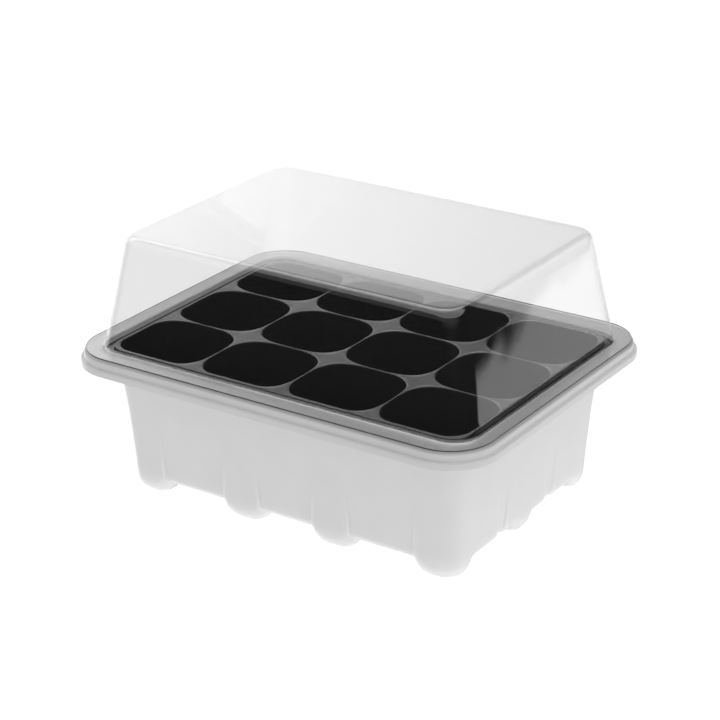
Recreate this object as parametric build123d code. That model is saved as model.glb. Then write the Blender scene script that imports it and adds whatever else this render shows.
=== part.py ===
"""Twelve-cell propagator: base tray, cell insert and humidity dome.

Three sheets of thermoformed plastic stack on one another.  The base tray is a water tub on ten
hollow feet.  The cell insert hangs in it by a narrow rim, and the clear dome lies over both.
Millimetres, +Z up; the origin is on the ground under the middle of the tray, X along its length.
"""
from build123d import *
import os

# Sheets and how they stack
SHEET = 0.5             # thickness of all three formed sheets
STACK_GAP = 0.2         # air between two sheets that lie on each other
SIDE_GAP = 0.4          # air beside the insert's edge in the base's recess

# Heights above the ground
FOOT_HEIGHT = 5.0
RECESS_Z = 59.6         # top of the recessed ledge that carries the insert
FLANGE_Z = 61.3         # top of the base flange
DOME_TOP_Z = 106.7

# Base tub: half sizes along X and Y at the floor and at the ledge
TUB_FLOOR = (74.5, 51.1)
TUB_LEDGE = (79.6, 56.0)
TUB_CORNER = 7.0

# Base rim, as half sizes and corner radii
RECESS = (83.7, 60.1)
RECESS_CORNER = 10.6
FLANGE_FLAT = (89.7, 68.6)
FLANGE_CORNER = 17.8
SHOULDER = 1.3          # radius between the flange and its skirt
SKIRT_DROP = 3.5        # from the flange down to the step in the skirt
STEP = 1.3              # how far the lower skirt stands out
LOWER_SKIRT = 2.5

# Feet: hollow bosses that run up the tub wall as pilasters and fade into it
FOOT_HALF = (9.4, 8.0)
FOOT_NARROWING = 1.6    # how much each half width loses from the ground to the top
FOOT_CORNER = 6.0
FOOT_ROUND = 3.6        # radius round the sole
FOOT_PROUD = 0.8        # how far a boss stands out of the wall at floor level
PILASTER_TOP = 36.0
FOOT_MIDDLE_X = 20.7

# Cells
CELL_PITCH = (40.0, 38.2)
CELL_COUNT = (4, 3)
CELL_MOUTH = (19.6, 18.7)
CELL_FLOOR = (13.8, 12.9)
MOUTH_CORNER = 10.5
FLOOR_CORNER = 7.5
CELL_DEPTH = 46.0
CELL_ROUND = 3.0        # radius between a cell's wall and its floor
FIELD_MOUTH = (78.4, 54.7)      # straight outer walls of the outer cells, at the mouths
FIELD_FLOOR = (73.6, 50.5)
FIELD_CORNER = 6.5
DRAIN_RADIUS = 4.0

# Insert rim
PLATEAU = (79.7, 56.0)
PLATEAU_CORNER = 7.4
PLATEAU_STEP = 1.0      # the web between the cells stands above the rim

# Dome
DOME_FOOT = (83.5, 60.3)        # at the top of the dome flange
DOME_TOP = (75.2, 53.2)
DOME_FOOT_CORNER = 10.0
DOME_TOP_CORNER = 8.0
DOME_EDGE = 6.0         # radius round the top
DOME_FLANGE = (89.9, 68.8)

CUT = 1.0               # how far a cutting solid runs past what it cuts


def grown(half, by):
    """Half sizes made larger by the same amount on both axes."""
    return (half[0] + by, half[1] + by)


def section(z, half, corner, centre=(0, 0)):
    """A rounded rectangle at height z."""
    return Pos(centre[0], centre[1], z) * RectangleRounded(2 * half[0], 2 * half[1], corner)


def block(z_low, z_high, half, corner):
    """An upright rounded block."""
    return extrude(section(z_low, half, corner), z_high - z_low, dir=(0, 0, 1))


def ring(z_low, z_high, outer, outer_corner, inner, inner_corner):
    """An upright rounded frame."""
    hole = block(z_low - CUT, z_high + CUT, inner, inner_corner)
    return block(z_low, z_high, outer, outer_corner) - hole


def between(z, z_low, low, z_high, high):
    """The value at z on the straight line from (z_low, low) to (z_high, high)."""
    return low + (high - low) * (z - z_low) / (z_high - z_low)


def taper(z_low, low, low_corner, z_high, high, high_corner):
    """A solid whose sides run straight from one rounded rectangle to another."""
    return loft([section(z_low, low, low_corner), section(z_high, high, high_corner)])


def bottom_edges(solid):
    return solid.faces().sort_by(Axis.Z)[0].edges()


def top_edges(solid):
    return solid.faces().sort_by(Axis.Z)[-1].edges()


# ---------------------------------------------------------------- base tray
def wall_at(z, axis):
    """Half size of the tub's outside at height z."""
    return between(z, FOOT_HEIGHT, TUB_FLOOR[axis], RECESS_Z, TUB_LEDGE[axis])


def foot(side_x, side_y, inset):
    """One boss.  A side of -1 or 1 puts its face against that wall, and 0 leaves it central."""
    sections = []
    for z, narrowing in ((inset, 0.0), (PILASTER_TOP, FOOT_NARROWING)):
        half = grown(FOOT_HALF, -narrowing - inset)
        proud = between(z, FOOT_HEIGHT, FOOT_PROUD, PILASTER_TOP, -0.1)
        reach = [wall_at(z, axis) + proud - inset - half[axis] for axis in (0, 1)]
        centre_x = side_x * reach[0] if abs(side_x) == 1 else side_x
        sections.append(section(z, half, FOOT_CORNER - inset, (centre_x, side_y * reach[1])))
    boss = loft(sections)
    return fillet(bottom_edges(boss), FOOT_ROUND - inset)


def tub(inset):
    """The filled tub with its feet; inset makes it smaller all round for the inside."""
    top_z = RECESS_Z if inset == 0 else RECESS_Z + CUT
    low = grown(TUB_FLOOR, -inset)
    high = (wall_at(top_z, 0) - inset, wall_at(top_z, 1) - inset)
    corner = TUB_CORNER - inset
    body = taper(FOOT_HEIGHT + inset, low, corner, top_z, high, corner)
    body = fillet(bottom_edges(body), 2.0 - inset)
    for side_x in (-1, -FOOT_MIDDLE_X, FOOT_MIDDLE_X, 1):
        for side_y in (-1, 1):
            body += foot(side_x, side_y, inset)
    for side_x in (-1, 1):
        body += foot(side_x, 0, inset)
    return body


def base_rim():
    """Recessed ledge, riser, flange, rounded shoulder and the two-tier skirt."""
    step_z = FLANGE_Z - SKIRT_DROP
    foot_z = step_z - LOWER_SKIRT
    skirt = grown(FLANGE_FLAT, SHOULDER)
    skirt_corner = FLANGE_CORNER + SHOULDER
    cap = block(step_z - SHEET, FLANGE_Z, skirt, skirt_corner)
    cap = fillet(top_edges(cap), SHOULDER)
    hollow = block(step_z - SHEET - CUT, FLANGE_Z - SHEET, grown(skirt, -SHEET), skirt_corner - SHEET)
    hollow = fillet(top_edges(hollow), SHOULDER - SHEET)
    well = block(RECESS_Z - CUT, FLANGE_Z + CUT, RECESS, RECESS_CORNER)
    rim = cap - hollow - well
    outside = grown(RECESS, SHEET)
    outside_corner = RECESS_CORNER + SHEET
    rim += ring(RECESS_Z - SHEET, FLANGE_Z, outside, outside_corner, RECESS, RECESS_CORNER)
    rim += block(RECESS_Z - SHEET, RECESS_Z, outside, outside_corner)
    lower = grown(skirt, STEP)
    lower_corner = skirt_corner + STEP
    inner = grown(lower, -SHEET)
    inner_corner = lower_corner - SHEET
    rim += ring(step_z - SHEET, step_z, lower, lower_corner, grown(skirt, -SHEET), skirt_corner - SHEET)
    rim += ring(foot_z, step_z, lower, lower_corner, inner, inner_corner)
    return rim


def base_tray():
    return base_rim() + tub(0) - tub(SHEET)


# -------------------------------------------------------------- cell insert
RIM_LOW_Z = RECESS_Z + STACK_GAP
RIM_TOP_Z = RIM_LOW_Z + SHEET
WEB_Z = RIM_TOP_Z + PLATEAU_STEP        # top of the web between the cells
CELL_FLOOR_Z = WEB_Z - CELL_DEPTH


def cells(growth, top_z):
    """All twelve cells as filled shapes, grown by the sheet for their outside."""
    floor_z = CELL_FLOOR_Z - growth

    def widened(z, floor_half, mouth_half):
        size = [between(z, CELL_FLOOR_Z, floor_half[i], WEB_Z, mouth_half[i]) for i in (0, 1)]
        return grown(size, growth)

    one = taper(
        floor_z, widened(floor_z, CELL_FLOOR, CELL_MOUTH), FLOOR_CORNER + growth,
        top_z, widened(top_z, CELL_FLOOR, CELL_MOUTH), MOUTH_CORNER + growth,
    )
    one = fillet(bottom_edges(one), CELL_ROUND + growth)
    field = taper(
        floor_z, widened(floor_z, FIELD_FLOOR, FIELD_MOUTH), FIELD_CORNER + growth,
        top_z, widened(top_z, FIELD_FLOOR, FIELD_MOUTH), FIELD_CORNER + growth,
    )
    whole = None
    for column in range(CELL_COUNT[0]):
        for row in range(CELL_COUNT[1]):
            cell = Pos(*cell_centre(column, row), 0) * one
            whole = cell if whole is None else whole + cell
    return whole & field


def cell_centre(column, row):
    return (
        (column - (CELL_COUNT[0] - 1) / 2) * CELL_PITCH[0],
        (row - (CELL_COUNT[1] - 1) / 2) * CELL_PITCH[1],
    )


def drains():
    """One round drain hole in the floor of each cell."""
    low = CELL_FLOOR_Z - SHEET - CUT
    holes = [
        Pos(*cell_centre(column, row), low) * Cylinder(
            DRAIN_RADIUS, SHEET + 2 * CUT, align=(Align.CENTER, Align.CENTER, Align.MIN)
        )
        for column in range(CELL_COUNT[0])
        for row in range(CELL_COUNT[1])
    ]
    return Compound(children=holes)


def cell_insert():
    rim = grown(RECESS, -SIDE_GAP)
    rim_corner = RECESS_CORNER - SIDE_GAP
    inner = grown(PLATEAU, -SHEET)
    inner_corner = PLATEAU_CORNER - SHEET
    body = block(WEB_Z - SHEET, WEB_Z, PLATEAU, PLATEAU_CORNER)
    body += ring(RIM_LOW_Z, WEB_Z, PLATEAU, PLATEAU_CORNER, inner, inner_corner)
    body += ring(RIM_LOW_Z, RIM_TOP_Z, rim, rim_corner, inner, inner_corner)
    body += cells(SHEET, WEB_Z)
    body -= cells(0, WEB_Z + CUT)
    return body - drains()


# ------------------------------------------------------------ humidity dome
def dome_half(z, axis):
    """Half size of the dome's outside at height z."""
    return between(z, dome_flange_z(), DOME_FOOT[axis], DOME_TOP_Z, DOME_TOP[axis])


def dome_flange_z():
    """Top of the dome flange, which lies on the base flange."""
    return FLANGE_Z + STACK_GAP + SHEET


def dome_body(low_z, inset):
    """The filled dome from low_z up; inset makes it smaller all round for the inside."""
    low = (dome_half(low_z, 0) - inset, dome_half(low_z, 1) - inset)
    high = grown(DOME_TOP, -inset)
    body = taper(
        low_z, low, DOME_FOOT_CORNER - inset,
        DOME_TOP_Z - inset, high, DOME_TOP_CORNER - inset,
    )
    return fillet(top_edges(body), DOME_EDGE - inset)


def humidity_dome():
    """Tapered cover that stands on a flat flange round its foot."""
    flange_z = dome_flange_z()
    low_z = flange_z - SHEET
    body = dome_body(low_z, 0) + block(low_z, flange_z, DOME_FLANGE, FLANGE_CORNER)
    return body - dome_body(low_z - CUT, SHEET)


os.makedirs("parts", exist_ok=True)
NODES = {
    "base_tray": base_tray(),
    "cell_insert": cell_insert(),
    "humidity_dome": humidity_dome(),
}
for name, shape in NODES.items():
    export_step(shape, f"parts/{name}.step")
    size = shape.bounding_box().size
    print(f"{name}: {size.X:.1f} x {size.Y:.1f} x {size.Z:.1f} mm, volume {shape.volume:.0f} mm3")
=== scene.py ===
import math

import bpy
import numpy as np
from mathutils import Matrix, Vector


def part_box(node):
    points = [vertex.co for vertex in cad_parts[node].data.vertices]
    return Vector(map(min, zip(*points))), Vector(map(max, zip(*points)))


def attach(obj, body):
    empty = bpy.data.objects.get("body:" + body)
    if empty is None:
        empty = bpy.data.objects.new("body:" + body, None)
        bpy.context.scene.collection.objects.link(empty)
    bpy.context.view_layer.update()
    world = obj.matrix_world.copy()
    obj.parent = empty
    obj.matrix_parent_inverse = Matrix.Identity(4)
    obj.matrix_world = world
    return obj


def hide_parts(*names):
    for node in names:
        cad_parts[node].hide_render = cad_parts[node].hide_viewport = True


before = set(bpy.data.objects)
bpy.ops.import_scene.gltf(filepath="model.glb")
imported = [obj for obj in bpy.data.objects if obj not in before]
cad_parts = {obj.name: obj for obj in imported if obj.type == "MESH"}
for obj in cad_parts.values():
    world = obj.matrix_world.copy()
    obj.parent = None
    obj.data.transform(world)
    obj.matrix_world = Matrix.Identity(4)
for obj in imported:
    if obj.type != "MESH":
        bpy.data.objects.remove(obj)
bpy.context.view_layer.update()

MM = 0.001
SHEET = 0.5 * MM
RIM_GAP = 0.2 * MM      # air between stacked rims

base_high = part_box("base_tray")[1]
insert_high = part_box("cell_insert")[1]
dome_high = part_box("humidity_dome")[1]

# Heights that the frame gives
FLANGE_Z = base_high.z
WEB_Z = insert_high.z
DOME_TOP_Z = dome_high.z
DOME_FLANGE_Z = FLANGE_Z + RIM_GAP + SHEET


# ------------------------------------------------------------------ outlines
CORNER_TURN = 14        # stretches round each corner of an outline
FINE_REACH = 1.2 * MM   # points stay closest together within this distance of a mark
COARSENING = 0.3        # and their spacing grows at this rate beyond it
MOST_OF_LEG = 0.48      # a bend takes at most this share of the straight beside it


class Outline:
    """Points round a rounded rectangle that keep their places while its size changes.

    Each point is a fraction of the straight stretches and a direction outwards, anticlockwise.
    """

    def __init__(self, along_x, along_y):
        fractions, outward = [], []
        arc = np.linspace(0, math.pi / 2, CORNER_TURN + 1)[1:-1]
        corners = [(1, 1), (-1, 1), (-1, -1), (1, -1)]
        sides = [
            [(1, t) for t in along_y],
            [(t, 1) for t in along_x[::-1]],
            [(-1, t) for t in along_y[::-1]],
            [(t, -1) for t in along_x],
        ]
        for quarter, (side, corner) in enumerate(zip(sides, corners)):
            start = quarter * math.pi / 2
            fractions += side + [corner] * len(arc)
            angles = [start] * len(side) + list(start + arc)
            outward += [(math.cos(a), math.sin(a)) for a in angles]
        self.fractions = np.array(fractions, float)
        self.outward = np.array(outward)

    def rings(self, profile):
        """The outline at each (half_x, half_y, corner, z) of a profile, as rings of points."""
        return np.array([raised(
            self.fractions * (half_x - corner, half_y - corner) + corner * self.outward, z)
            for half_x, half_y, corner, z in profile])


def raised(flat, z):
    """Flat points at the height z."""
    return np.column_stack([flat, np.full(len(flat), z)])


def graded(half, marks, fine, coarse):
    """Fractions from -1 to 1 of a stretch of that half length, closest together at the marks."""
    at = [-half]
    while at[-1] < half:
        gap = min(abs(at[-1] - mark) for mark in marks)
        at.append(at[-1] + min(coarse, fine + COARSENING * max(0, gap - FINE_REACH)))
    at = np.array(at) + half
    return list(at / at[-1] * 2 - 1)


def even(count):
    return list(np.linspace(-1, 1, count + 1))


def bent(profile, steps=4):
    """Rounds the bends of a profile of (half_x, half_y, corner, z, bend radius)."""
    points = [np.array(entry[:4]) for entry in profile]
    path = [points[0]]
    for before, here, after, entry in zip(points, points[1:], points[2:], profile[1:]):
        ends = []
        for other in (before, after):
            leg = other - here
            length = math.hypot(leg[0], leg[3])
            ends.append(here + leg * min(entry[4] / length, MOST_OF_LEG))
        for t in np.linspace(0, 1, steps + 1) if entry[4] else (0.5,):
            curve = (1 - t) ** 2 * ends[0] + 2 * t * (1 - t) * here + t * t * ends[1]
            path.append(curve if entry[4] else here)
    return path + [points[-1]]


def refined(path, longest):
    """The same path with its long stretches divided."""
    out = [path[0]]
    for before, here in zip(path, path[1:]):
        count = max(1, math.ceil(math.hypot(*(here - before)[[0, 3]]) / longest))
        out += [before + (here - before) * (i + 1) / count for i in range(count)]
    return out


def to_middle(path, steps):
    """The same path, with the last outline shrunk in steps until it nearly meets the middle."""
    last = path[-1]
    scales = [1 - i / (steps + 0.5) for i in range(1, steps + 1)]
    return path + [last * (scale, scale, scale, 1) for scale in scales]


def grown(half, by):
    return (half[0] + by, half[1] + by)


def smooth(t):
    t = np.clip(t, 0, 1)
    return t * t * (3 - 2 * t)


# ------------------------------------------------------------------- meshes
WELD_DISTANCE = 0.01 * MM
SHARP_ANGLE = math.radians(50)


def rings_to_faces(rings, first=0):
    """Quads between closed rings, whose points are numbered from first, ring after ring."""
    count, points = rings.shape[:2]
    faces = []
    for ring in range(count - 1):
        low, high = first + ring * points, first + (ring + 1) * points
        for i in range(points):
            j = (i + 1) % points
            faces.append((low + i, low + j, high + j, high + i))
    return faces


def capped_faces(rings):
    """The same quads, and one face that closes the last ring."""
    count = rings.shape[0] * rings.shape[1]
    return rings_to_faces(rings) + [tuple(range(count - rings.shape[1], count))]


def formed(name, points, faces, thickness, body, node, materials):
    """A formed sheet: the upper face thickened downwards, smooth, riding on its body.

    The last of the materials goes on the sheet's cut edge, and the first on the rest.
    """
    mesh = bpy.data.meshes.new(name)
    mesh.from_pydata([tuple(p) for p in points], [], faces)
    mesh.validate()
    for material in materials:
        mesh.materials.append(material)
    piece = bpy.data.objects.new(name, mesh)
    bpy.context.scene.collection.objects.link(piece)
    weld = piece.modifiers.new("weld", "WELD")
    weld.merge_threshold = WELD_DISTANCE
    shell = piece.modifiers.new("sheet", "SOLIDIFY")
    shell.thickness = thickness
    shell.offset = -1
    shell.use_even_offset = True
    shell.material_offset_rim = len(materials) - 1
    apply_modifiers(piece)
    piece.data.shade_smooth()
    piece.data.set_sharp_from_angle(angle=SHARP_ANGLE)
    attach(piece, body)
    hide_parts(node)


def apply_modifiers(piece):
    """Makes the mesh that the modifiers give the piece's own."""
    evaluated = piece.evaluated_get(bpy.context.evaluated_depsgraph_get())
    mesh = bpy.data.meshes.new_from_object(evaluated)
    piece.modifiers.clear()
    old = piece.data
    piece.data = mesh
    bpy.data.meshes.remove(old)
    mesh.name = piece.name


# ---------------------------------------------------------------- base tray
FOOT_HEIGHT = 5.0 * MM
# the recess is 0.5 mm deeper than the CAD's, for the dark groove round the insert
RECESS_Z = FLANGE_Z - 2.2 * MM
TUB_FLOOR = (74.5 * MM, 51.1 * MM)
TUB_LEDGE = (79.6 * MM, 56.0 * MM)
TUB_CORNER = 7.0 * MM
RECESS = (83.7 * MM, 60.1 * MM)
RECESS_CORNER = 10.6 * MM
LIP = (base_high.x, base_high.y)
LIP_CORNER = 20.4 * MM
STEP = 1.3 * MM
SKIRT_DROP = 3.5 * MM
LOWER_SKIRT = 2.5 * MM
LIP_BEND = 0.4 * MM
STEP_BEND = 0.2 * MM
FLANGE_BEND = 1.5 * MM
RECESS_TOP_BEND = 0.5 * MM
RECESS_BEND = 0.4 * MM
LEDGE_BEND = 1.0 * MM
FLOOR_BEND = 3.4 * MM
FLOOR_BORDER = 9.0 * MM
FLOOR_BORDER_CORNER = 5.0 * MM
FLOOR_STEPS = 46
TRAY_LONGEST = 1.5 * MM
TRAY_SPACING = (0.35 * MM, 3.0 * MM)    # closest and widest spacing of points round the tub
FOOT_HALF = (9.4 * MM, 7.4 * MM)
FOOT_CORNER = 7.0 * MM
SOLE_GAP = 0.03 * MM
FOOT_ROUND = 5.5 * MM
PILASTER_HALF = (9.5 * MM, 16.0 * MM)
PILASTER_CORNER = 0.01 * MM
PILASTER_NARROWING = 1.6 * MM
PILASTER_TOP = 36.0 * MM
PILASTER_SIDE = (-0.2 * MM, 1.4 * MM)   # where a pilaster's side starts to rise, and how wide it is
PROUD = 1.1 * MM
PROUD_TOP = 33.0 * MM
FOOT_BLEND_TOP = 14.0 * MM
FOOT_MIDDLE_X = 20.7 * MM
TUB_TOP = RECESS_Z - 1.0 * MM
WALL_STRIP = (6.0 * MM, 3.0 * MM)       # floor near a wall moves with its pilasters
CORNER_INSET = 2.0 * MM


def against_walls(half):
    """(centre_x, centre_y) of each foot's place, for rectangles of that half size.

    Four stand along each long side, the outer ones at the corners, and one in each short side.
    """
    reach_x = TUB_FLOOR[0] + PROUD - half[0]
    reach_y = TUB_FLOOR[1] + PROUD - half[1]
    places = [(x, y) for x in (-reach_x, -FOOT_MIDDLE_X, FOOT_MIDDLE_X, reach_x)
              for y in (-reach_y, reach_y)]
    return places + [(-reach_x, 0), (reach_x, 0)]


def depth_inside(half, corner, x, y, narrowing=0):
    """How far inside the nearest rounded rectangle against the walls a point is."""
    best = np.full(np.shape(x), -1.0)
    for centre_x, centre_y in against_walls(half):
        over_x = np.abs(x - centre_x) - half[0] + narrowing + corner
        over_y = np.abs(y - centre_y) - half[1] + narrowing + corner
        outside = np.hypot(np.maximum(over_x, 0), np.maximum(over_y, 0))
        inside = np.minimum(np.maximum(over_x, over_y), 0)
        best = np.maximum(best, corner - outside - inside)
    return best


def base_profile():
    """Upper face of the tray's sheet, from the lip's cut edge to the border of the floor."""
    step_z = FLANGE_Z - SKIRT_DROP
    skirt = grown(LIP, -STEP)
    inner_floor = grown(TUB_FLOOR, -SHEET)
    inner_ledge = grown(TUB_LEDGE, -SHEET)
    return refined(bent([
        (*LIP, LIP_CORNER, step_z - LOWER_SKIRT, 0),
        (*LIP, LIP_CORNER, step_z, LIP_BEND),
        (*skirt, LIP_CORNER - STEP, step_z, STEP_BEND),
        (*skirt, LIP_CORNER - STEP, FLANGE_Z, FLANGE_BEND),
        (*RECESS, RECESS_CORNER, FLANGE_Z, RECESS_TOP_BEND),
        (*RECESS, RECESS_CORNER, RECESS_Z, RECESS_BEND),
        (*inner_ledge, TUB_CORNER - SHEET, RECESS_Z, LEDGE_BEND),
        (*inner_floor, TUB_CORNER - SHEET, FOOT_HEIGHT + SHEET, FLOOR_BEND),
        (*grown(inner_floor, -FLOOR_BORDER), FLOOR_BORDER_CORNER, FOOT_HEIGHT + SHEET, 0),
    ]), TRAY_LONGEST)


def base_points():
    """Rings of points on the upper face, with the feet pressed into wall and floor."""
    half_x, half_y = PILASTER_HALF
    marks_x = [side * edge for side in (-1, 1) for edge in
               (FOOT_MIDDLE_X - half_x, FOOT_MIDDLE_X + half_x, TUB_FLOOR[0] - 2 * half_x)]
    marks_y = [side * edge for side in (-1, 1) for edge in (half_y, TUB_FLOOR[1] - 2 * half_y)]
    outline = Outline(graded(TUB_FLOOR[0] - TUB_CORNER, marks_x, *TRAY_SPACING),
                      graded(TUB_FLOOR[1] - TUB_CORNER, marks_y, *TRAY_SPACING))
    return press_feet(outline.rings(to_middle(base_profile(), FLOOR_STEPS)), outline)


def press_feet(rings, outline):
    """Presses the bowls of the feet into the floor and their pilasters into the walls."""
    x, y, z = rings[..., 0], rings[..., 1], rings[..., 2]
    tub = (z < TUB_TOP) & (np.abs(x) < TUB_LEDGE[0]) & (np.abs(y) < TUB_LEDGE[1])
    round_in = np.clip(depth_inside(FOOT_HALF, FOOT_CORNER, x, y) / FOOT_ROUND, 0, 1)
    drop = (FOOT_HEIGHT - SOLE_GAP) * np.sqrt(1 - (1 - round_in) ** 2)
    share = smooth((FOOT_BLEND_TOP - z) / (FOOT_BLEND_TOP - FOOT_HEIGHT - SHEET))
    # the wall leans outwards, so its points are judged by where the floor's edge is below them
    below_x = np.clip(x, CORNER_INSET - TUB_FLOOR[0], TUB_FLOOR[0] - CORNER_INSET)
    below_y = np.clip(y, CORNER_INSET - TUB_FLOOR[1], TUB_FLOOR[1] - CORNER_INSET)
    narrowing = PILASTER_NARROWING * np.clip(z / PILASTER_TOP, 0, 1)
    in_pilaster = depth_inside(PILASTER_HALF, PILASTER_CORNER, below_x, below_y, narrowing)
    proud = PROUD * np.clip((PROUD_TOP - z) / (PROUD_TOP - FOOT_HEIGHT), 0, 1)
    from_wall = np.maximum(np.abs(x) - TUB_FLOOR[0], np.abs(y) - TUB_FLOOR[1])
    near_wall = np.clip((from_wall + WALL_STRIP[0]) / WALL_STRIP[1], 0, 1)
    side_start, side_width = PILASTER_SIDE
    push = proud * smooth((in_pilaster - side_start) / side_width) * near_wall * tub
    pressed = rings.copy()
    pressed[..., 2] -= np.where(tub, drop * share, 0)
    pressed[..., :2] += push[..., None] * outline.outward[None]
    return pressed


def base_tray():
    rings = base_points()
    formed("tray_shell", rings.reshape(-1, 3), capped_faces(rings), SHEET, "base", "base_tray",
           [frosted_material()])


# -------------------------------------------------------------- cell insert
INSERT_SHEET = 0.4 * MM
PITCH = (40.0 * MM, 38.2 * MM)
COLUMNS, ROWS = 4, 3
MOUTH = (19.5 * MM, 18.6 * MM)
MOUTH_LIP = 0.45 * MM
LIP_DEPTH = 1.5 * MOUTH_LIP
CELL_FLOOR = (13.8 * MM, 12.9 * MM)
MOUTH_POWER = 3.3       # powers of the superellipses that give the cells their outlines
FLOOR_POWER = 3.6
CELL_DEPTH = 46.0 * MM
CELL_ROUND = 3.0 * MM
FIELD_MOUTH = (78.7 * MM, 55.6 * MM)    # the outer cells' walls are cut straight at these halves
FIELD_FLOOR = (73.6 * MM, 50.5 * MM)
FIELD_SOFTNESS = 0.25 * MM
DRAIN_RADIUS = 4.0 * MM
SOLE_SHARES = (0.3, 0.6, 0.85, 1.0)     # rings of a cell's floor, as shares of the way to the hole
PLATEAU = (79.7 * MM, 57.0 * MM)
PLATEAU_CORNER = 7.4 * MM
PLATEAU_STEP = 1.5 * MM
RIM = (83.3 * MM, 59.7 * MM)
RIM_CORNER = 10.2 * MM
PLATEAU_SIDE = (0.3 * MM, 0.5 * MM)     # how far the step's top and foot lie outside the plateau
PLATEAU_BEND = 0.4 * MM
RIM_LONGEST = 1.5 * MM
SIDE_POINTS = 24
LIP_RINGS, WALL_RINGS, ROUND_RINGS = 7, 13, 6


def square_boundary(count):
    """Points round the square from -1 to 1, anticlockwise, the same number on each side."""
    t = np.linspace(-1, 1, count + 1)[:-1]
    one = np.ones(count)
    return np.concatenate([
        np.column_stack([one, t]), np.column_stack([-t, one]),
        np.column_stack([-one, -t]), np.column_stack([t, -one]),
    ])


def soft_limit(value, limit, softness):
    """value held below the limit, with a rounded turn; works for both signs."""
    size = np.abs(value)
    over = (size - limit) / softness
    return np.sign(value) * (size - softness * np.log1p(np.exp(np.clip(over, -40, 40))))


def cell_ring(square, centre, depth, growth=0.0):
    """Outline of one cell at a depth below the web."""
    t = depth / CELL_DEPTH
    power = MOUTH_POWER + (FLOOR_POWER - MOUTH_POWER) * t
    size = (np.abs(square) ** power).sum(1, keepdims=True) ** (1 / power)
    half = [MOUTH[i] + (CELL_FLOOR[i] - MOUTH[i]) * t + growth for i in (0, 1)]
    ring = square / size * half + centre
    for axis in (0, 1):
        limit = FIELD_MOUTH[axis] + (FIELD_FLOOR[axis] - FIELD_MOUTH[axis]) * t + growth
        ring[:, axis] = soft_limit(ring[:, axis], limit, FIELD_SOFTNESS)
    return ring


def round_corner(flat, half, corner):
    """Moves points near the corners of a rectangle on to its rounded corners."""
    straight = np.array(half) - corner
    over = np.maximum(np.abs(flat) - straight, 0)
    both = (over > 0).all(1)
    length = np.hypot(over[:, 0], over[:, 1])
    reach = np.maximum(over[:, 0], over[:, 1])
    scaled = np.sign(flat) * (straight + over * (reach / np.maximum(length, 1e-9))[:, None])
    return np.where(both[:, None], scaled, flat)


def cell_patch(column, row):
    """Rings of one cell, from the edge of its part of the web to its drain hole."""
    square = square_boundary(SIDE_POINTS)
    centre = np.array([(column - (COLUMNS - 1) / 2) * PITCH[0], (row - (ROWS - 1) / 2) * PITCH[1]])
    low = centre - np.array(PITCH) / 2
    high = centre + np.array(PITCH) / 2
    for axis, (place, count) in enumerate(((column, COLUMNS), (row, ROWS))):
        if place == 0:
            low[axis] = -PLATEAU[axis]
        if place == count - 1:
            high[axis] = PLATEAU[axis]
    edge = np.where(square > 0, centre + square * (high - centre), centre + square * (centre - low))
    edge = round_corner(edge, PLATEAU, PLATEAU_CORNER)
    rings = [(edge, 0.0)]
    rings.append((edge * 0.5 + cell_ring(square, centre, 0, MOUTH_LIP) * 0.5, 0.0))
    for angle in np.linspace(0, math.pi / 2, LIP_RINGS):
        growth = MOUTH_LIP * (1 - math.sin(angle))
        rings.append((cell_ring(square, centre, 0, growth), LIP_DEPTH * (1 - math.cos(angle))))
    depths = np.linspace(LIP_DEPTH, CELL_DEPTH - CELL_ROUND, WALL_RINGS)[1:]
    rings += [(cell_ring(square, centre, depth), depth) for depth in depths]
    for angle in np.linspace(0, math.pi / 2, ROUND_RINGS)[1:]:
        depth = CELL_DEPTH - CELL_ROUND * (1 - math.sin(angle))
        growth = -CELL_ROUND * (1 - math.cos(angle))
        rings.append((cell_ring(square, centre, depth, growth), depth))
    sole = rings[-1][0]
    circle = square / np.hypot(square[:, 0], square[:, 1])[:, None] * DRAIN_RADIUS + centre
    rings += [(sole * (1 - t) + circle * t, CELL_DEPTH) for t in SOLE_SHARES]
    return np.array([raised(flat, WEB_Z - depth) for flat, depth in rings])


def cell_insert():
    patches = [cell_patch(column, row) for column in range(COLUMNS) for row in range(ROWS)]
    points, faces = [], []
    for rings in patches + [rim_rings(plateau_border())]:
        faces += rings_to_faces(rings, first=len(points))
        points += list(rings.reshape(-1, 3))
    formed("cell_sheet", points, faces, INSERT_SHEET, "insert", "cell_insert",
           [black_material()])


def plateau_border():
    """The cells' points along the plateau's edge, anticlockwise."""
    t = np.linspace(-1, 1, SIDE_POINTS + 1)
    halves = []
    for axis, count in ((0, COLUMNS), (1, ROWS)):
        edges = [(i - count / 2) * PITCH[axis] for i in range(count + 1)]
        centres = [(i - (count - 1) / 2) * PITCH[axis] for i in range(count)]
        edges[0], edges[-1] = -PLATEAU[axis], PLATEAU[axis]
        stations = []
        for centre, low, high in zip(centres, edges, edges[1:]):
            part = np.where(t > 0, centre + t * (high - centre), centre + t * (centre - low))
            stations += list(part if centre == centres[-1] else part[:-1])
        halves.append(np.array(stations))
    x, y = halves
    loop = np.concatenate([
        np.column_stack([np.full(len(y) - 1, PLATEAU[0]), y[:-1]]),
        np.column_stack([x[:0:-1], np.full(len(x) - 1, PLATEAU[1])]),
        np.column_stack([np.full(len(y) - 1, -PLATEAU[0]), y[:0:-1]]),
        np.column_stack([x[:-1], np.full(len(x) - 1, -PLATEAU[1])]),
    ])
    return round_corner(loop, PLATEAU, PLATEAU_CORNER)


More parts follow.
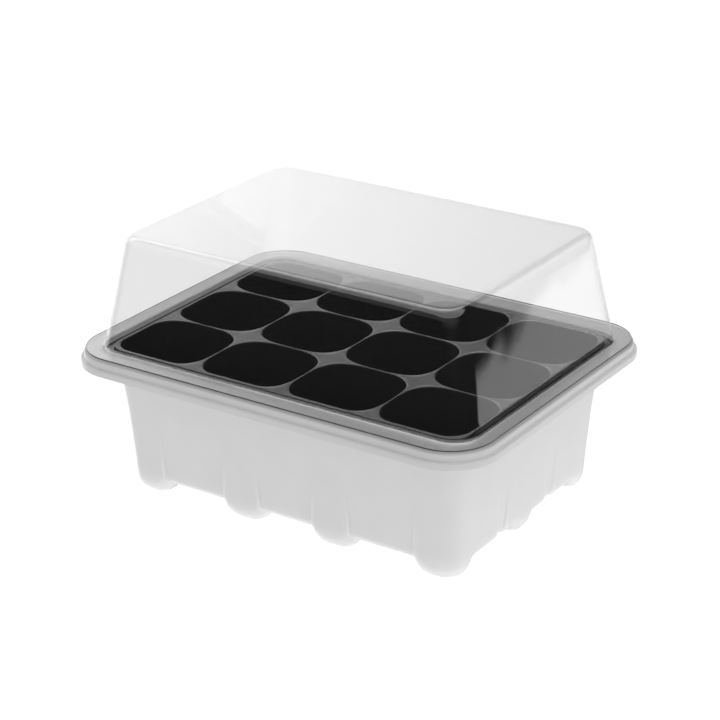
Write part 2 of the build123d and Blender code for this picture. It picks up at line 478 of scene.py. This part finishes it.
def rim_rings(border):
    """Step down from the plateau and the narrow rim that hangs in the tray."""
    straight = np.array(PLATEAU) - PLATEAU_CORNER
    base = np.clip(border, -straight, straight)
    outward = (border - base) / PLATEAU_CORNER
    fractions = base / straight
    low_z = WEB_Z - PLATEAU_STEP
    # the first ring is the plateau's own edge, so the step's bends start from it
    profile = bent([
        (*PLATEAU, PLATEAU_CORNER, WEB_Z, 0),
        (*grown(PLATEAU, PLATEAU_SIDE[0]), PLATEAU_CORNER + PLATEAU_SIDE[0], WEB_Z, PLATEAU_BEND),
        (*grown(PLATEAU, PLATEAU_SIDE[1]), PLATEAU_CORNER + PLATEAU_SIDE[1], low_z, PLATEAU_BEND),
        (*RIM, RIM_CORNER, low_z, 0),
    ])
    return np.array([
        raised(fractions * (half_x - corner, half_y - corner) + corner * outward, z)
        for half_x, half_y, corner, z in refined(profile, RIM_LONGEST)[::-1]])


# ------------------------------------------------------------ humidity dome
DOME_FLANGE = (89.9 * MM, 68.8 * MM)
DOME_FLANGE_CORNER = 17.8 * MM
DOME_FOOT = (83.5 * MM, 60.3 * MM)
DOME_FOOT_CORNER = 10.0 * MM
DOME_FOOT_BEND = 1.0 * MM
DOME_TOP = (75.2 * MM, 53.2 * MM)
DOME_TOP_CORNER = 8.0 * MM
DOME_EDGE = 3.2 * MM
DOME_BORDER = 20.0 * MM
DOME_BORDER_CORNER = 5.0 * MM
DOME_LONGEST = 3.0 * MM
DOME_BEND_STEPS = 8
DOME_SIDES = (56, 40)
DOME_TOP_STEPS = 14


def dome_points():
    """Rings of points on the upper face, from the flange's cut edge to the middle of the top."""
    profile = bent([
        (*DOME_FLANGE, DOME_FLANGE_CORNER, DOME_FLANGE_Z, 0),
        (*DOME_FOOT, DOME_FOOT_CORNER, DOME_FLANGE_Z, DOME_FOOT_BEND),
        (*DOME_TOP, DOME_TOP_CORNER, DOME_TOP_Z, DOME_EDGE),
        (*grown(DOME_TOP, -DOME_BORDER), DOME_BORDER_CORNER, DOME_TOP_Z, 0),
    ], steps=DOME_BEND_STEPS)
    outline = Outline(*(even(count) for count in DOME_SIDES))
    return outline.rings(to_middle(refined(profile, DOME_LONGEST), DOME_TOP_STEPS))


def humidity_dome():
    rings = dome_points()
    formed("dome_shell", rings.reshape(-1, 3), capped_faces(rings), SHEET, "dome", "humidity_dome",
           [clear_material(), cut_edge_shade_material()])


# ---------------------------------------------------------------- materials
PLASTIC_IOR = 1.5
BLACK_IOR = 1.59
NOISE_RANGE = (0.3, 0.7)        # the part of a noise's values that is used
# Greys of the frosted sheet, each mottled between two values. Painted shade darkens the flange and
# the skirt, and painted light from below whitens the feet.
FLANGE_SHADE_GREY = (0.45, 0.51)
SKIRT_SHADE_GREY = (0.74, 0.80)
WALL_GREY = (0.88, 0.92)
FOOT_LIGHT_GREY = (0.95, 0.98)
# Heights between which one of them turns into the next
FLANGE_SHADE_HEIGHTS = (FLANGE_Z - 1.0 * MM, FLANGE_Z - 0.1 * MM)
WALL_HEIGHTS = (FLANGE_Z - 5.0 * MM, FLANGE_Z - 14.0 * MM)
# painted light from below: the feet turn whiter between these heights
FOOT_LIGHT_HEIGHTS = (12.0 * MM, 1.0 * MM)
# painted highlight on the walls' convex creases, between these pointiness values
CREASE_HIGHLIGHT_POINTINESS = (0.505, 0.53)
THROUGH_SHARE = 0.18            # share of the frosted sheet's light that shines through
BLACK_GREY = (0.002, 0.008)
# painted shade: the clear sheet's cut edge is a dark opaque grey
CUT_EDGE_SHADE_GREY = (0.05, 0.11)
# Slant and haze of the clear sheet: from slant, to slant, haze there and haze here
CLEAR_HAZE = (0.36, 0.66, 0.003, 0.10)
CLEAR_SLANT_GREY = (1.0, 0.90)
CLEAR_TOP_GREY = 0.885
CLEAR_TOP_HEIGHTS = (DOME_TOP_Z - 1.5 * MM, DOME_TOP_Z - 0.6 * MM)
RIPPLE_HEIGHTS = (DOME_FLANGE_Z + 1.0 * MM, DOME_FLANGE_Z + 5.0 * MM)


class Nodes:
    """The node tree of a new material or world, with short ways to add and join nodes."""

    def __init__(self, name, blocks=None, output="ShaderNodeOutputMaterial"):
        self.block = (bpy.data.materials if blocks is None else blocks).new(name)
        self.block.use_nodes = True
        self.tree = self.block.node_tree
        self.tree.nodes.clear()
        self.output = self.add(output)

    def add(self, kind, **values):
        node = self.tree.nodes.new(kind)
        for key, value in values.items():
            if key in node.inputs:
                self.put(node.inputs[key], value)
            else:
                setattr(node, key, value)
        return node

    def put(self, socket, value):
        if isinstance(value, bpy.types.NodeSocket):
            self.tree.links.new(value, socket)
        else:
            socket.default_value = value

    def mix(self, factor, first, second):
        node = self.add("ShaderNodeMixShader")
        self.put(node.inputs[0], factor)
        self.put(node.inputs[1], first)
        self.put(node.inputs[2], second)
        return node.outputs[0]

    def finish(self, shader):
        self.tree.links.new(shader, self.output.inputs["Surface"])
        return self.block

    def product(self, first, *others):
        for other in others:
            first = self.math("MULTIPLY", first, other)
        return first

    def math(self, operation, first, second):
        node = self.add("ShaderNodeMath", operation=operation)
        self.put(node.inputs[0], first)
        self.put(node.inputs[1], second)
        return node.outputs[0]

    def step(self, value, start, end):
        """0 before start, 1 after end and a smooth turn between them."""
        node = self.add("ShaderNodeMapRange", interpolation_type="SMOOTHSTEP")
        self.put(node.inputs["Value"], value)
        node.inputs["From Min"].default_value = start
        node.inputs["From Max"].default_value = end
        return node.outputs[0]


def grey(value):
    return (value, value, value, 1)


def height(nodes):
    """Z in the piece's own coordinates, which are the frame's."""
    place = nodes.add("ShaderNodeSeparateXYZ")
    nodes.put(place.inputs[0], nodes.add("ShaderNodeTexCoord").outputs["Object"])
    return place.outputs["Z"]


def noise(nodes, scale, detail):
    place = nodes.add("ShaderNodeTexCoord").outputs["Object"]
    return nodes.add("ShaderNodeTexNoise", Vector=place, Scale=scale, Detail=detail).outputs["Fac"]


def ranged(nodes, value, from_low, from_high, low, high):
    """value moved from one range into another, and held inside it."""
    node = nodes.add("ShaderNodeMapRange")
    limits = {"Value": value, "From Min": from_low, "From Max": from_high,
              "To Min": low, "To Max": high}
    for socket, limit in limits.items():
        nodes.put(node.inputs[socket], limit)
    return node.outputs[0]


def bumped(nodes, bumps, distance, strength=1.0):
    node = nodes.add("ShaderNodeBump", Height=bumps, Distance=distance, Strength=strength)
    return node.outputs[0]


def tint(nodes, factor, first, second):
    """A colour between two others, each a grey value or a socket."""
    node = nodes.add("ShaderNodeMix", data_type="RGBA")
    nodes.put(node.inputs[0], factor)
    for socket, colour in ((6, first), (7, second)):
        nodes.put(node.inputs[socket], grey(colour) if isinstance(colour, float) else colour)
    return node.outputs[2]


def frosted_material():
    """Milky sheet, with painted shade that makes it darkest on the flat flange and darker on the
    skirt than on the walls.

    Painted light from below makes the feet the whitest, and a painted highlight whitens the convex
    creases of the walls.
    """
    nodes = Nodes("frosted_sheet")
    z = height(nodes)
    mottle = noise(nodes, 90, 4)
    # painted shade: the flange and skirt greys are darker than the wall grey; painted light: the feet
    # grey is lighter
    top, skirt, wall, foot = (
        tint(nodes, mottle, *greys) for greys in (FLANGE_SHADE_GREY, SKIRT_SHADE_GREY, WALL_GREY, FOOT_LIGHT_GREY))
    below_rim = nodes.step(z, *WALL_HEIGHTS)
    sides = tint(nodes, below_rim, skirt, wall)
    # painted light: the grey turns whiter towards the floor
    sides = tint(nodes, nodes.step(z, *FOOT_LIGHT_HEIGHTS), sides, foot)
    # painted highlight: convex creases below the rim turn white
    pointiness = nodes.add("ShaderNodeNewGeometry").outputs["Pointiness"]
    crease_highlight = nodes.product(nodes.step(pointiness, *CREASE_HIGHLIGHT_POINTINESS), below_rim)
    sides = tint(nodes, crease_highlight, sides, 1.0)
    # painted shade: the flat flange takes the darkest grey
    colour = tint(nodes, nodes.step(z, *FLANGE_SHADE_HEIGHTS), sides, top)
    normal = bumped(nodes, noise(nodes, 1400, 2), 0.02 * MM)
    dull = nodes.add("ShaderNodeBsdfDiffuse", Color=colour, Roughness=0.3)
    through = nodes.add("ShaderNodeBsdfTranslucent", Color=colour)
    body = nodes.mix(THROUGH_SHARE, dull.outputs[0], through.outputs[0])
    sheen = nodes.add("ShaderNodeBsdfGlossy", Color=grey(1.0), Roughness=0.38, Normal=normal)
    return nodes.finish(nodes.mix(thin_fresnel(nodes), body, sheen.outputs[0]))


def black_material():
    """Glossy black sheet with a slightly uneven face."""
    nodes = Nodes("black_sheet")
    colour = tint(nodes, noise(nodes, 60, 4), *BLACK_GREY)
    rough = ranged(nodes, noise(nodes, 35, 3), *NOISE_RANGE, 0.12, 0.2)
    normal = bumped(nodes, noise(nodes, 300, 3), 0.006 * MM)
    shader = nodes.add("ShaderNodeBsdfPrincipled", Roughness=rough, IOR=BLACK_IOR, Normal=normal)
    nodes.put(shader.inputs["Base Color"], colour)
    return nodes.finish(shader.outputs[0])


def clear_material():
    """Thin clear sheet: straight through, milkier and darker at a slant, with a mirror reflection.

    The flat top is greyer, and the walls and the top ripple, but the flange doesn't.
    """
    nodes = Nodes("clear_sheet")
    slant = nodes.add("ShaderNodeLayerWeight", Blend=0.3).outputs["Facing"]
    z = height(nodes)
    wall = tint(nodes, slant, *CLEAR_SLANT_GREY)
    colour = tint(nodes, nodes.step(z, *CLEAR_TOP_HEIGHTS), wall, CLEAR_TOP_GREY)
    clear = nodes.add("ShaderNodeBsdfTransparent", Color=colour)
    haze = nodes.add("ShaderNodeBsdfDiffuse", Color=grey(0.97))
    off_flange = nodes.step(z, *RIPPLE_HEIGHTS)
    normal = bumped(nodes, noise(nodes, 25, 1.5), 0.15 * MM, off_flange)
    gloss = nodes.add("ShaderNodeBsdfGlossy", Color=grey(1.0), Roughness=0.02, Normal=normal)
    body = nodes.mix(ranged(nodes, slant, *CLEAR_HAZE), clear.outputs[0], haze.outputs[0])
    return nodes.finish(nodes.mix(thin_fresnel(nodes), body, gloss.outputs[0]))


def cut_edge_shade_material():
    """The trimmed edge of the clear sheet, an opaque dark grey: painted shade for the dark line it
    shows from the side.
    """
    nodes = Nodes("clear_sheet_edge_shade")
    # painted shade: dark grey in place of the clear edge
    shade = tint(nodes, noise(nodes, 150, 3), *CUT_EDGE_SHADE_GREY)
    rough = ranged(nodes, noise(nodes, 600, 2), *NOISE_RANGE, 0.3, 0.5)
    shader = nodes.add("ShaderNodeBsdfPrincipled", Roughness=rough, IOR=PLASTIC_IOR)
    nodes.put(shader.inputs["Base Color"], shade)
    return nodes.finish(shader.outputs[0])


def thin_fresnel(nodes):
    """Fresnel reflection of a thin sheet, the same from inside the plastic as from the air."""
    behind = nodes.add("ShaderNodeNewGeometry").outputs["Backfacing"]
    index = nodes.add("ShaderNodeMath", operation="MULTIPLY_ADD")
    nodes.put(index.inputs[0], behind)
    index.inputs[1].default_value = 1 / PLASTIC_IOR - PLASTIC_IOR
    index.inputs[2].default_value = PLASTIC_IOR
    return nodes.add("ShaderNodeFresnel", IOR=index.outputs[0]).outputs[0]


# --------------------------------------------------------- light and camera
BACKGROUND = 1.3        # what the camera sees
AMBIENT = 0.7           # what dull faces are lit by
# What glossy faces mirror: strengths, and where each light starts and ends in the direction's X, Y
# or Z. The photograph's own reflections gave the limits.
BACKDROP_LEFT = 2.0
BACKDROP_RIGHT = 0.88
BACKDROP_FAR_RIGHT = 0.35       # added to the right one
OVERHEAD = 1.7
STRIP = 3.4
ROOM = 0.3
DARKEST = 0.02
BEHIND_Y = (-0.3, 0.15)
BACKDROP_TOP_Z = (0.386, 0.430)
LEFT_X = (-0.40, -0.66)
FAR_RIGHT_X = (0.2, 0.45)
END_SLOPE = 1.245               # the backdrop's right end leans: it is where X + slope * Z is
BACKDROP_END = (0.328, 0.310)
OVERHEAD_Z = (0.60, 0.72)
ROOM_Z = (0.0, 0.15)
STRIP_LOW_Z = (0.435, 0.48)
STRIP_HIGH_Z = (0.76, 0.66)
STRIP_X = (-0.28, -0.42)

FLOOR_REACH = 6.0
FLOOR_GREY = 0.4
FLOOR_GLOW = 0.85
KEY_PLACE = (0.9, 0.2, 1.6)
KEY_AIM = (0, 0, 0.04)
KEY_SIZE = 1.4
KEY_POWER = 6

# The camera that was fitted to the photograph
LENS = 111.7
SHIFT = (-0.0216, -0.0197)
AZIMUTH, ELEVATION, ROLL = math.radians(33.23), math.radians(22.95), math.radians(-0.21)
CAMERA_PLACE = Vector((444.62, -667.49, 399.10)) * MM


def floor():
    """A white sheet lit a little from below, like a light table."""
    corners = [(x * FLOOR_REACH, y * FLOOR_REACH, 0) for x, y in ((-1, -1), (1, -1), (1, 1), (-1, 1))]
    mesh = bpy.data.meshes.new("floor")
    mesh.from_pydata(corners, [], [(0, 1, 2, 3)])
    piece = bpy.data.objects.new("floor", mesh)
    bpy.context.scene.collection.objects.link(piece)
    nodes = Nodes("floor_paper")
    dull = nodes.add("ShaderNodeBsdfDiffuse", Color=grey(FLOOR_GREY))
    glow = nodes.add("ShaderNodeEmission", Strength=FLOOR_GLOW)
    both = nodes.add("ShaderNodeAddShader")
    nodes.put(both.inputs[0], dull.outputs[0])
    nodes.put(both.inputs[1], glow.outputs[0])
    mesh.materials.append(nodes.finish(both.outputs[0]))
    piece.visible_glossy = False


def key_light():
    """A large soft light from above, which isn't mirrored."""
    lamp = bpy.data.lights.new("key", "AREA")
    lamp.shape = "SQUARE"
    lamp.size = KEY_SIZE
    lamp.energy = KEY_POWER
    piece = bpy.data.objects.new("key", lamp)
    bpy.context.scene.collection.objects.link(piece)
    piece.location = KEY_PLACE
    aim = Vector(KEY_AIM) - Vector(KEY_PLACE)
    piece.rotation_euler = aim.to_track_quat("-Z", "Y").to_euler()
    piece.visible_glossy = False
    piece.visible_camera = False


def mirrored_studio(nodes):
    """Strength of what glossy faces mirror, by direction.

    A white backdrop behind, brighter on the left and at the far right, where it ends; above it a
    bright strip on the left and an overhead light; and a dim room in front.
    """
    split = nodes.add("ShaderNodeSeparateXYZ")
    nodes.put(split.inputs[0], nodes.add("ShaderNodeTexCoord").outputs["Generated"])
    x, y, z = (split.outputs[axis] for axis in "XYZ")
    behind = nodes.step(y, *BEHIND_Y)
    below_top = nodes.math("SUBTRACT", 1.0, nodes.step(z, *BACKDROP_TOP_Z))
    left = nodes.product(nodes.step(x, *LEFT_X), BACKDROP_LEFT - BACKDROP_RIGHT)
    far_right = nodes.product(nodes.step(x, *FAR_RIGHT_X), BACKDROP_FAR_RIGHT)
    level = nodes.math("ADD", nodes.math("ADD", left, far_right), BACKDROP_RIGHT)
    leaning = nodes.math("ADD", x, nodes.product(z, END_SLOPE))
    backdrop = nodes.product(behind, below_top, level, nodes.step(leaning, *BACKDROP_END))
    overhead = nodes.product(nodes.step(z, *OVERHEAD_Z), OVERHEAD)
    strip = nodes.product(nodes.step(z, *STRIP_LOW_Z), nodes.step(z, *STRIP_HIGH_Z),
                          nodes.step(x, *STRIP_X), behind, STRIP)
    in_front = nodes.math("SUBTRACT", 1.0, behind)
    room = nodes.product(in_front, nodes.step(z, *ROOM_Z), ROOM)
    brightest = backdrop
    for light in (overhead, strip, room):
        brightest = nodes.math("MAXIMUM", brightest, light)
    return nodes.math("ADD", brightest, DARKEST)


def studio():
    """The world: one even white for the camera, another for dull faces, and lights to mirror."""
    nodes = Nodes("studio", bpy.data.worlds, "ShaderNodeOutputWorld")
    bpy.context.scene.world = nodes.block
    plain, ambient, mirrored = (
        nodes.add("ShaderNodeBackground", Strength=strength).outputs[0]
        for strength in (BACKGROUND, AMBIENT, mirrored_studio(nodes)))
    ray = nodes.add("ShaderNodeLightPath")
    lit = nodes.mix(ray.outputs["Is Diffuse Ray"], plain, ambient)
    nodes.finish(nodes.mix(ray.outputs["Is Glossy Ray"], lit, mirrored))


def camera():
    """Long lens from the front right, a little above the dome."""
    lens = bpy.data.cameras.new("camera")
    lens.lens = LENS
    lens.shift_x, lens.shift_y = SHIFT
    piece = bpy.data.objects.new("camera", lens)
    bpy.context.scene.collection.objects.link(piece)
    back = Vector((math.sin(AZIMUTH) * math.cos(ELEVATION),
                   -math.cos(AZIMUTH) * math.cos(ELEVATION), math.sin(ELEVATION)))
    turn = (-back).to_track_quat("-Z", "Y").to_matrix() @ Matrix.Rotation(ROLL, 3, "Z")
    piece.rotation_euler = turn.to_euler()
    piece.location = CAMERA_PLACE
    bpy.context.scene.camera = piece


base_tray()
cell_insert()
humidity_dome()
floor()
studio()
key_light()
camera()
bpy.context.scene.view_settings.view_transform = "Standard"
